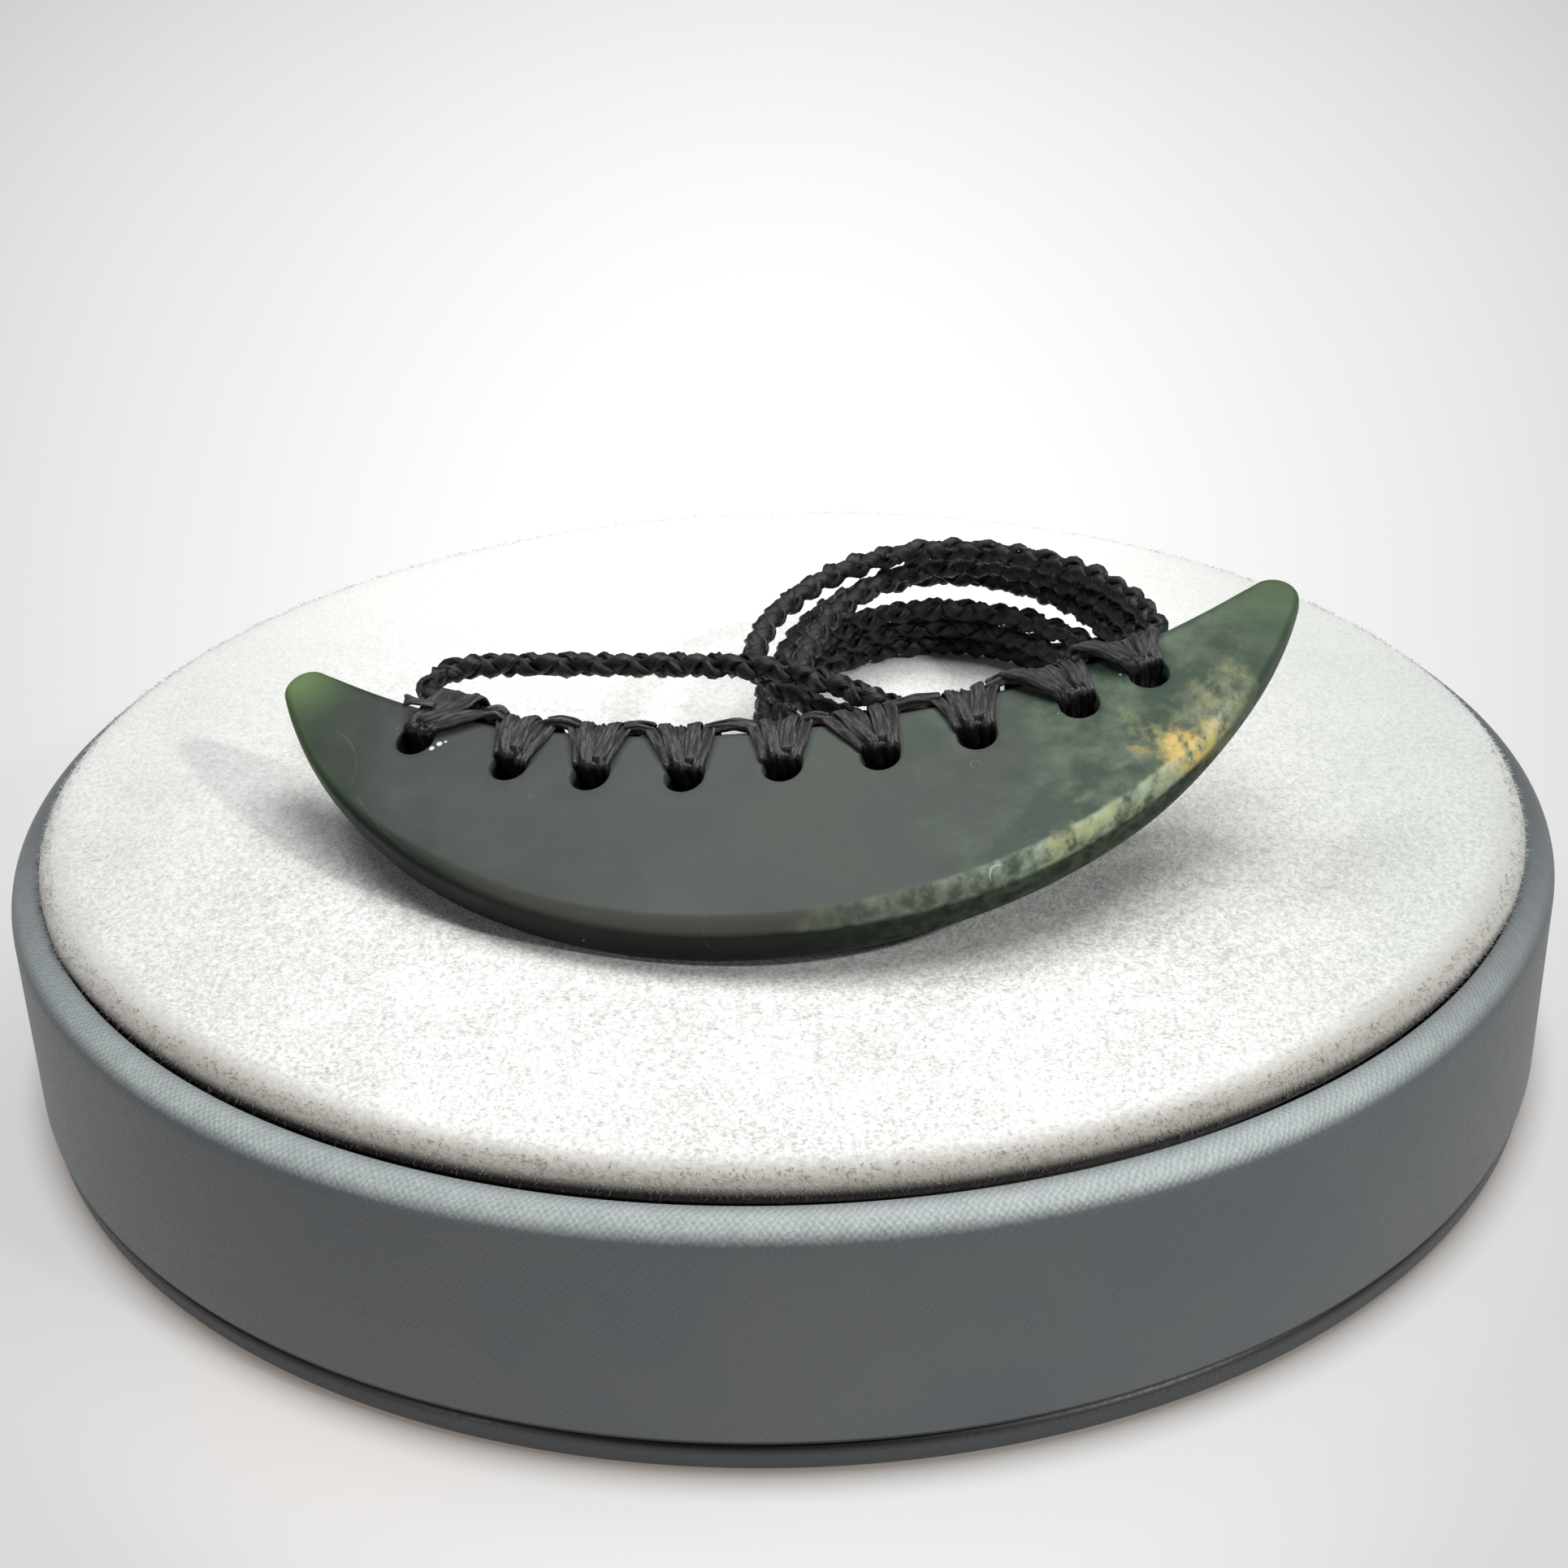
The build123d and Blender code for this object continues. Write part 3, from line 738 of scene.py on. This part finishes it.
def buildPlate():
    look = plateMesh
    centres = [holeFrame(i).translation.xy for i in range(9)]
    flat, edges, marks, rings = [], [], [], []  # a mark is the depth from the edge and from a hole

    def addLoop(loop, mark):
        first, count = len(flat), len(loop)
        flat.extend(loop)
        marks.extend([mark] * count)
        edges.extend((first + k, first + (k + 1) % count) for k in range(count))
        return first

    def nearestHole(x, y):
        return min(hypot(x - c.x, y - c.y) for c in centres)

    for d in look["insets"]:
        addLoop(outline(d), (d, look["far"]))
    count = len(flat) // len(look["insets"])
    many = look["holePoints"]
    angles = [tau * k / many for k in range(many)]
    for c in centres:
        for d in look["holeInsets"]:
            r = holeRadius + d
            rings.append(addLoop([(c.x + r * cos(a), c.y + r * sin(a)) for a in angles], (look["far"], d)))
    step, row, y = look["grid"], 0, -shield["lowerRadius"]
    while y < 0:
        x = -shield["lowerRadius"] + (step / 2 if row % 2 else 0)
        while x < shield["lowerRadius"]:
            clear = nearestHole(x, y) - holeRadius > look["holeInsets"][-1] + step * 0.4
            if clear and insideDepth(x, y) > look["insets"][-1] + step * 0.5:
                flat.append((x, y))
                marks.append((look["far"], look["far"]))
            x += step
        y += step * 0.866
        row += 1
    points, _, faces, origin, _, _ = delaunay_2d_cdt([Vector(p) for p in flat], edges, [], 0, 1e-6)
    marked = [marks[o[0]] if o else (look["far"], look["far"]) for o in origin]
    found = {o[0]: n for n, o in enumerate(origin) if o}
    keep = []
    for face in faces:
        x, y = sum((points[k] for k in face), Vector((0, 0))) / len(face)
        if insideDepth(x, y) > 0 and nearestHole(x, y) >= holeRadius * 0.998:
            keep.append(tuple(face))
    front, rear = [], []
    for p, (depth, hole) in zip(points, marked):
        aside = shareOf(abs(p.x), look["taperFrom"], look["taperTo"])
        z = frontAt(p.x) - roundOff(hole, look["holeRound"])
        z -= roundOff(depth, look["bevel"] * (1 - 0.5 * aside), look["bevelPower"] + 0.5 * aside)
        if depth > look["rippleFrom"]:
            z += look["ripple"] * (noise.noise(Vector((p.x * 0.09, p.y * 0.09, look["rippleSeed"]))) - 0.1)
        front.append((p.x, p.y, z))
        # the back is ground away towards the tips
        z = roundOff(depth, shield["backRound"]) + roundOff(hole, look["holeRound"])
        z += look["taper"] * eased(aside) * shareOf(insideDepth(p.x, p.y), look["taperDeep"], 0) ** 1.5
        rear.append((p.x, p.y, z))
    solid, n = front + rear, len(points)
    made = keep + [tuple(k + n for k in reversed(f)) for f in keep]

    def wall(first, size, levels, flip=False, centre=None):
        # joins the front rim of a loop to its back rim through rings at these levels; a hole has a waist
        rims = [[found[first + k] for k in range(size)]]
        for level in levels:
            rims.append(list(range(len(solid), len(solid) + size)))
            squeeze = 1 - look["waist"] * sin(pi * level)
            for k in range(size):
                (x, y, top), bottom = solid[found[first + k]], solid[found[first + k] + n][2]
                if centre is not None:
                    x, y = centre.x + (x - centre.x) * squeeze, centre.y + (y - centre.y) * squeeze
                solid.append((x, y, bottom + (top - bottom) * level))
        rims.append([found[first + k] + n for k in range(size)])
        for upper, lower in zip(rims, rims[1:]):
            for k in range(size):
                j = (k + 1) % size
                quad = (upper[k], upper[j], lower[j], lower[k])
                made.append(tuple(reversed(quad)) if flip else quad)

    wall(0, count, (0.75, 0.5, 0.25))
    for first, c in zip(rings[::len(look["holeInsets"])], centres):
        wall(first, many, (0.9, 0.75, 0.5, 0.25, 0.1), True, c)
    plate = meshObject("jade_plate", [shieldPose @ Vector(p) * mm for p in solid], made, jade)
    turnOutwards(plate)
    return plate


finishPiece(buildPlate(), "jade", "jade_shield")


# the lashings
lashing = {"threadWidth": 1.16, "threadThickness": 0.36, "gap": 0.03, "bedThickness": 0.5, "seed": 11,
           "tops": ((-0.6, 5.4), (-2.5, 2.0), (-2.7, 2.0), (-3.5, 1.5), (-2.5, 1.9), (-3.9, 1.45),
                    (-2.15, 2.65), (-3.5, 1.7), (-2.55, 2.7)),
           "wraps": (7, 6, 5, 5, 5, 5, 5, 5, 5), "lifts": (0.02, 0.30, 0.10, 0.38, 0.16), "wander": 0.14,
           "mouthGap": 0.2, "mouthSpread": 1.02, "rowStart": 0.35, "rowStep": 0.9,
           "glueHigh": 2.3, "glueLow": 0.9,
           "corners": 26, "steps": 7, "foldSize": 0.28, "foldDepth": 0.75,
           "cordMiddle": (5.0, 2.85), "cordClear": 1.34, "cordUnder": (-1.6, 3.4)}
# single strands that don't close: hole, then points in its frame
looseStrands = ((7, (-5.4, 4.2, 4.4), (-4.4, 4.9, 5.4), (-3.0, 3.6, 5.9), (-1.7, 1.9, 5.7), (-0.8, 0.7, 5.0),
                 (-0.6, 0.3, 3.2)),
                (8, (-5.3, 3.6, 4.6), (-4.2, 4.5, 5.5), (-2.9, 3.4, 6.0), (-1.8, 1.9, 5.7), (-0.9, 0.7, 5.0),
                 (-0.6, 0.3, 3.2)),
                (0, (0.6, 3.3, 5.0), (-0.2, 3.1, 5.15), (-1.2, 2.9, 5.3), (-2.1, 2.8, 5.35),
                 (-2.7, 2.7, 5.25)))


def wrapLine(i, k, spread):
    # one closed turn of thread in hole i's frame: x along the edge, y over it, z out of the front
    share = k / (lashing["wraps"][i] - 1) * 2 - 1
    low, high = lashing["tops"][i]
    wander, thick, gap = lashing["wander"], lashing["threadThickness"], lashing["gap"]
    topX = low + (high - low) * (share + 1) / 2 + spread.uniform(-wander, wander)
    x = share * lashing["mouthSpread"] + spread.uniform(-wander, wander) * 0.7
    lift = lashing["lifts"][k % 5] * (1 - 0.35 * abs(share))
    mouth = holeRadius - lashing["mouthGap"]
    y = sqrt(max(0.05, mouth ** 2 - x ** 2)) - thick * (lashing["rowStart"] + (k % 3) * lashing["rowStep"])
    depth = shield["holeDepth"] * shield["holeDepths"][i]
    edgeY = depth + topX ** 2 / 2 / shield["upperRadius"]
    topY = edgeY + gap + thick / 2 + lashing["bedThickness"] * 0.55 + lift * 0.6
    front = frontAt(abs((holeFrame(i) @ Vector((topX, depth, 0))).x)) + thick / 2 + gap + lift
    rear = -thick / 2 - gap - lift * 0.6
    bowX, bowZ = spread.uniform(-wander, wander) * 1.5, spread.uniform(0.0, 0.14)
    over = [(topX, topY, front - 0.85), (topX, topY + 0.02, front * 0.5), (topX, topY, rear + 0.9)]
    if i == 0 and lashing["cordUnder"][0] < topX < lashing["cordUnder"][1]:
        # the end of the neck cord is held under these turns
        cordY, cordZ = lashing["cordMiddle"]
        clear = lashing["cordClear"] + lift * 0.5
        over = [(topX, cordY - 0.4, cordZ + clear * 1.12), (topX, cordY + clear * 0.8, cordZ + clear * 0.8),
                (topX, cordY + clear * 1.08, cordZ), (topX, cordY + clear * 0.8, cordZ - clear * 0.8),
                (topX, cordY - 0.4, cordZ - clear * 1.12)]
        topY = edgeY + 0.3
    halfX, nearX, halfY = x + (topX - x) * 0.5, x + (topX - x) * 0.86, (y + topY) / 2
    corners = [(x, y, front * 0.5), (x, y, front - 0.15), (x, y + 0.25, front),
               (halfX + bowX, halfY, front + 0.06 + bowZ), (nearX, topY - 0.75, front - 0.02), *over,
               (nearX, topY - 0.75, rear + 0.02), (halfX, halfY, rear - 0.04), (x, y + 0.25, rear),
               (x, y, rear + 0.15)]
    return smoothed(corners, True)


def smoothed(corners, closed):
    # quadratic spline through the corners' mid points
    corners = [Vector(c) for c in corners]
    points, size, steps = [], len(corners), lashing["steps"]
    for k in range(size) if closed else range(1, size - 1):
        here = corners[k]
        a, b = (corners[k - 1] + here) / 2, (here + corners[(k + 1) % size]) / 2
        for t in (s / steps for s in range(steps)):
            points.append(a * (1 - t) ** 2 + here * 2 * t * (1 - t) + b * t ** 2)
    return points, closed


def markGlue(band):
    # waxed thread is stuck fast in its hole: 1 at the mouth, 0 further up; read in the tree's axes
    values = []
    for vertex in band.data.vertices:
        near = shareOf(vertex.co.x / mm, lashing["glueHigh"], lashing["glueLow"])
        values.append(near if vertex.co.y / mm > 0.5 else 0.5)
    band.data.attributes.new("glue", "FLOAT", "POINT").data.foreach_set("value", values)


def buildLashing(i):
    spread = random.Random(lashing["seed"] + i)
    lines = [wrapLine(i, k, spread) for k in range(lashing["wraps"][i])]
    lines += [smoothed(points, False) for hole, *points in looseStrands if hole == i]
    # the tree's lines lie across local Z, so the frame's x goes there
    lines = [([Vector((p.y, p.z, p.x)) * mm for p in line], closed) for line, closed in lines]
    band = bakeThreads(f"lashing_{i + 1}", lines, lashing["threadWidth"], lashing["threadThickness"],
                       lashing["corners"], waxedThread, lashing["foldDepth"])
    markGlue(band)
    swap = Matrix(((0, 0, 1, 0), (1, 0, 0, 0), (0, 1, 0, 0), (0, 0, 0, 1)))
    band.data.transform(placed(shieldPose @ holeFrame(i)) @ swap)
    turnOutwards(band)
    finishPiece(band, "thread", f"binding_{i + 1}")


for hole in range(9):
    buildLashing(hole)
print("lashings made")

edgeThread = {"halfSpan": 25.6, "width": 0.9, "thickness": 0.5, "height": 0.6, "gap": 0.12, "sway": 0.12,
              "swayTurn": 0.7, "steps": 120, "corners": 20, "bridges": ((66.28, 4.75), (66.85, 5.12)),
              "bridgeLift": 0.35, "bridgeSteps": 16, "bridgeTuck": 0.5, "leastBridge": 0.006}


def buildEdgeThread():
    # the run of thread along the top edge, and the strands that pass from each lashing to the next
    look = edgeThread

    def onEdge(a, radius, z):
        return (radius * sin(a) * mm, (upperCentre - radius * cos(a)) * mm, z * mm)

    def topAngle(i, side, tuck):
        return holeAngle(i) + (lashing["tops"][i][side] + tuck) / shield["upperRadius"]

    radius = shield["upperRadius"] - look["gap"] - look["thickness"] / 2
    span, middle = radians(look["halfSpan"]), shield["thickness"] * look["height"]
    run = [onEdge(-span + 2 * span * k / look["steps"], radius,
                  middle + look["sway"] * sin(k * look["swayTurn"])) for k in range(look["steps"] + 1)]
    lines = [(run, False)]
    for i in range(8):
        start, end = topAngle(i, 1, -look["bridgeTuck"]), topAngle(i + 1, 0, look["bridgeTuck"])
        if end - start < look["leastBridge"]:
            continue
        for n, (reach, z) in enumerate(look["bridges"]):
            line = []
            for t in (k / look["bridgeSteps"] for k in range(look["bridgeSteps"] + 1)):
                hump = sin(pi * t) * look["bridgeLift"] * (0.5 if n else 1.0)
                line.append(onEdge(start + (end - start) * t, reach - hump, z - 0.25 * n * abs(2 * t - 1)))
            lines.append((line, False))
    strip = bakeThreads("edge_thread_run", lines, look["width"], look["thickness"], look["corners"],
                        waxedThread, lashing["foldDepth"])
    strip.data.transform(placed(shieldPose))
    turnOutwards(strip)
    finishPiece(strip, "thread", "edge_thread")


buildEdgeThread()


# the stand
stand = {"radius": 65.0, "rimHeight": 20.5, "rimWidth": 2.6, "rimRound": 2.4, "lipRound": 0.15,
         "recess": 18.1, "footHeight": 2.4, "footInset": 0.4, "groove": 0.35, "grooveDepth": 1.0,
         "smallRound": 0.4, "beadRound": 1.0, "padTop": 21.7, "around": 360, "hidden": 30.0}


def cornerArc(cx, cy, wide, start, end, count, high=None):
    angles = [radians(start + (end - start) * k / count) for k in range(count + 1)]
    return [(cx + wide * cos(a), cy + (high or wide) * sin(a)) for a in angles]


def lathe(name, profile, material):
    # turns a profile of (radius, height) in mm round Z; the first and last points lie on the axis
    around = stand["around"]
    points, rows, faces, spots, spans = [], [], [], [], [0.0]
    for a, b in zip(profile, profile[1:]):
        spans.append(spans[-1] + hypot(b[0] - a[0], b[1] - a[1]))
    for r, z in profile:
        size = around if r > 1e-6 else 1
        rows.append(range(len(points), len(points) + size))
        angles = [tau * k / around for k in range(size)]
        points += [(r * mm * cos(a), r * mm * sin(a), z * mm) for a in angles]
    for level, (low, high) in enumerate(zip(rows, rows[1:])):
        for k in range(around):
            face = []
            for row, turn, side in ((low, k, 0), (high, k, 1), (high, k + 1, 1), (low, k + 1, 0)):
                if len(row) == 1 and turn > k:
                    continue  # on the axis the face has three corners
                face.append(row[turn % len(row)])
                turned = k + 0.5 if len(row) == 1 else turn
                spots += [turned / around * tau * stand["radius"] * mm, spans[level + side] * mm]
            faces.append(face)
    obj = meshObject(name, points, faces, material)
    obj.data.uv_layers.new(name="wrapMap").data.foreach_set("uv", spots)
    turnOutwards(obj)
    return obj


def standBody():
    s = stand
    inner, outer = s["radius"] - s["rimWidth"], s["radius"]
    top, low = s["rimHeight"], s["footHeight"] + s["groove"]
    profile = [(0, s["recess"]), (inner * 0.5, s["recess"]), (inner, s["recess"]), (inner, top - 1.2)]
    profile += cornerArc(inner + s["lipRound"], top - s["lipRound"], s["lipRound"], 180, 90, 5)
    profile += cornerArc(outer - s["rimRound"], top - s["rimRound"], s["rimRound"], 90, 0, 14)
    profile += [(outer, low + (top - low) * k / 6) for k in (4, 3, 2, 1)]
    profile += cornerArc(outer - s["smallRound"], low + s["smallRound"], s["smallRound"], 0, -90, 4)
    profile += [(outer - s["grooveDepth"], low), (outer - s["grooveDepth"], s["footHeight"]),
                (s["hidden"], s["footHeight"]), (0, s["footHeight"])]
    return lathe("stand_drum", profile, leatherette)


def standFoot():
    s, bead = stand, stand["beadRound"]
    reach = s["radius"] - s["footInset"] - bead
    profile = [(0, 0), (s["hidden"], 0)] + cornerArc(reach, bead, bead, -90, 0, 6)
    profile += cornerArc(reach, s["footHeight"] - bead, bead, 0, 90, 6)
    profile += [(s["hidden"], s["footHeight"]), (0, s["footHeight"])]
    return lathe("stand_base", profile, leatherette)


padLook = {"radius": 62.5, "frontGap": 0.85, "gapFrom": 0.45, "gapPower": 0.7, "rollWide": 1.7,
           "rollHigh": 1.35, "lift": 0.26, "liftFrom": 46.0, "tuck": -62, "rows": 46, "wave": 0.06,
           "waveSize": 0.11, "soft": 6, "seed": 5.3}


def padEdge(a):
    # the cushion sits back against the rim and leaves a gap in front
    inFront = max(0.0, (-sin(a) - padLook["gapFrom"]) / (1 - padLook["gapFrom"]))
    return padLook["radius"] - padLook["frontGap"] * inFront ** padLook["gapPower"]


def standPad():
    # a thin cushion wrapped in suede: its edge is a roll that tucks under, a little proud of the middle
    s, look = stand, padLook
    r, top = look["radius"], s["padTop"] + look["lift"]
    middle = r - look["rollWide"]
    profile = [(0, s["recess"]), (r - 1.6, s["recess"]), (r - 1.2, s["recess"] + 0.3)]
    high = look["rollHigh"]
    profile += cornerArc(middle, top - high, look["rollWide"], look["tuck"], 90, 18, high)
    for k in range(1, look["rows"]):
        reach = middle * (1 - k / look["rows"])
        profile.append((reach, s["padTop"] + look["lift"] * eased(shareOf(reach, look["liftFrom"], middle))))
    cushion = lathe("suede_pad", profile + [(0, s["padTop"])], suede)
    for vertex in cushion.data.vertices:  # hand-wrapped, so never quite even
        p = vertex.co / mm
        reach = hypot(p.x, p.y)
        if reach > middle - look["soft"] and p.z > s["recess"] + 0.6:
            spot = Vector((p.x * look["waveSize"], p.y * look["waveSize"], look["seed"]))
            bend = look["wave"] * noise.noise(spot)
            drawnIn = (r - padEdge(atan2(p.y, p.x))) * shareOf(reach, middle - look["soft"], middle)
            vertex.co.x *= 1 + (bend - drawnIn) / reach
            vertex.co.y *= 1 + (bend - drawnIn) / reach
            vertex.co.z += bend * 0.4 * mm
    return cushion


fuzz = {"count": 6400, "long": (0.14, 0.38), "width": 0.05, "from": -12, "to": 75, "seed": 29}


def padFuzz():
    # loose fibres that stand off the cushion's rolled edge
    pick = random.Random(fuzz["seed"])
    look = padLook
    lines = []
    for _ in range(fuzz["count"]):
        a = pick.uniform(0, tau)
        lean = radians(pick.uniform(fuzz["from"], fuzz["to"]))
        root = Vector((padEdge(a) - look["rollWide"] * (1 - cos(lean)), 0,
                       stand["padTop"] + look["lift"] - look["rollHigh"] * (1 - sin(lean))))
        out = Vector((cos(lean), pick.uniform(-0.9, 0.9), sin(lean) * 0.7)).normalized()
        out *= pick.uniform(*fuzz["long"])
        curl = Vector((pick.uniform(-0.1, 0.1), pick.uniform(-0.2, 0.2), pick.uniform(-0.2, 0.05)))
        around = Matrix.Rotation(a, 4, "Z")
        lines.append(([around @ (root + out * t + curl * t * t) * mm for t in (-0.1, 0.5, 1.0)], False))
    return bakeThreads("edge_fuzz", lines, fuzz["width"], fuzz["width"], 3, suede, 0.0)


finishPiece(standBody(), "leatherette", "stand_body")
finishPiece(standFoot(), "leatherette", "stand_foot")
pad = finishPiece(standPad(), "suede", "stand_pad")
finishPiece(padFuzz(), "suede", "stand_pad")
print("stand made")


# floor and light
floorLook = {"halfSize": 3.0, "height": -0.0001, "body": (0.16, 0.16, 0.16), "strength": 0.867,
             "eye": (0.21, 0.113), "sideReach": 0.34, "middle": 0.44, "deepReach": 0.56,
             "glow": ((0.0, 0.93), (0.10, 0.93), (0.25, 0.85), (0.45, 0.77), (0.75, 0.69), (1.25, 0.56),
                      (1.5, 0.53)),
             "glowSpan": 1.6, "warmShadowPlace": (-0.030, -0.055), "warmShadowReach": 0.035,
             "paintedWarmShadow": (0.80, 0.70, 0.64), "shadowStart": 0.0642, "shadowEnd": 0.0676,
             "shadow": (0.16, 0.13, 0.11)}


def floorMaterial():
    # a softly glowing table, greyer away from the stand, with a faint warm painted shadow at its left foot
    look = floorLook
    material, tree, shader = newMaterial("paleFloor", {"Roughness": 0.9, "Specular IOR Level": 0.0,
                                                       "Base Color": look["body"],
                                                       "Emission Strength": look["strength"]})
    _, x, y, _ = objectPlace(tree)
    deep = (y + look["eye"][0]).math("MAXIMUM", 0.02)
    aside = x / deep / look["sideReach"]
    rise = (look["eye"][1] / deep - look["middle"]) / look["deepReach"]
    node = addNode(tree, "ShaderNodeValToRGB", {"Fac": (aside * aside + rise * rise) / look["glowSpan"]})
    stops = node.color_ramp.elements
    while len(stops) < len(look["glow"]):
        stops.new(0.5)
    for stop, (place, level) in zip(stops, look["glow"]):
        stop.position, stop.color = place / look["glowSpan"], (level, level, level, 1)
    # painted shadow, warm, on the table at the stand's left foot
    near = distance(x - look["warmShadowPlace"][0], y - look["warmShadowPlace"][1])
    paintedWarmShadow = near.between(look["warmShadowReach"], 0.0, 0.0, 0.35)
    # close round the foot the table is dark
    shadow = distance(x, y).between(look["shadowEnd"], look["shadowStart"]).math("POWER", 1.6)
    glow = layered(look, Field(tree, node.outputs["Color"]), (paintedWarmShadow, "paintedWarmShadow"), (shadow * 0.9, "shadow"))
    setInputs(shader, {"Emission Color": glow})
    return material


half, height = floorLook["halfSize"], floorLook["height"]
corners = [(-half, -half, height), (half, -half, height), (half, half, height), (-half, half, height)]
meshObject("floor", corners, [(0, 1, 2, 3)], floorMaterial())

studio = {"ambient": 0.10, "tint": (0.97, 0.985, 1.0), "distance": 0.75, "aim": (0, 0, 0.022),
          # each lamp: azimuth, elevation, size, power, colour
          "lamps": {"topLight": (18, 77, 0.62, 5.95, (1.0, 1.0, 1.0)),
                    "keyLight": (-40, 34, 0.05, 2.2, (0.98, 1.0, 0.97)),
                    "leftLight": (226, 20, 0.10, 0.6, (1.0, 0.98, 0.97)),
                    "backLight": (145, 58, 0.26, 1.6, (0.98, 1.0, 0.98))}}
scene.world = bpy.data.worlds.new("studio")
scene.world.use_nodes = True
setInputs(scene.world.node_tree.nodes["Background"], {"Color": studio["tint"], "Strength": studio["ambient"]})
for lampName, (azimuth, elevation, size, power, colour) in studio["lamps"].items():
    data = bpy.data.lights.new(lampName, "AREA")
    data.shape = "DISK"
    data.size, data.energy, data.color = size, power, colour
    lamp = linkNew(lampName, data)
    around, above = radians(azimuth), radians(elevation)
    toward = Vector((cos(above) * cos(around), cos(above) * sin(around), sin(above)))
    lamp.location = Vector(studio["aim"]) + toward * studio["distance"]
    lamp.rotation_euler = (-toward).to_track_quat("-Z", "Y").to_euler()
print("floor and lights made")
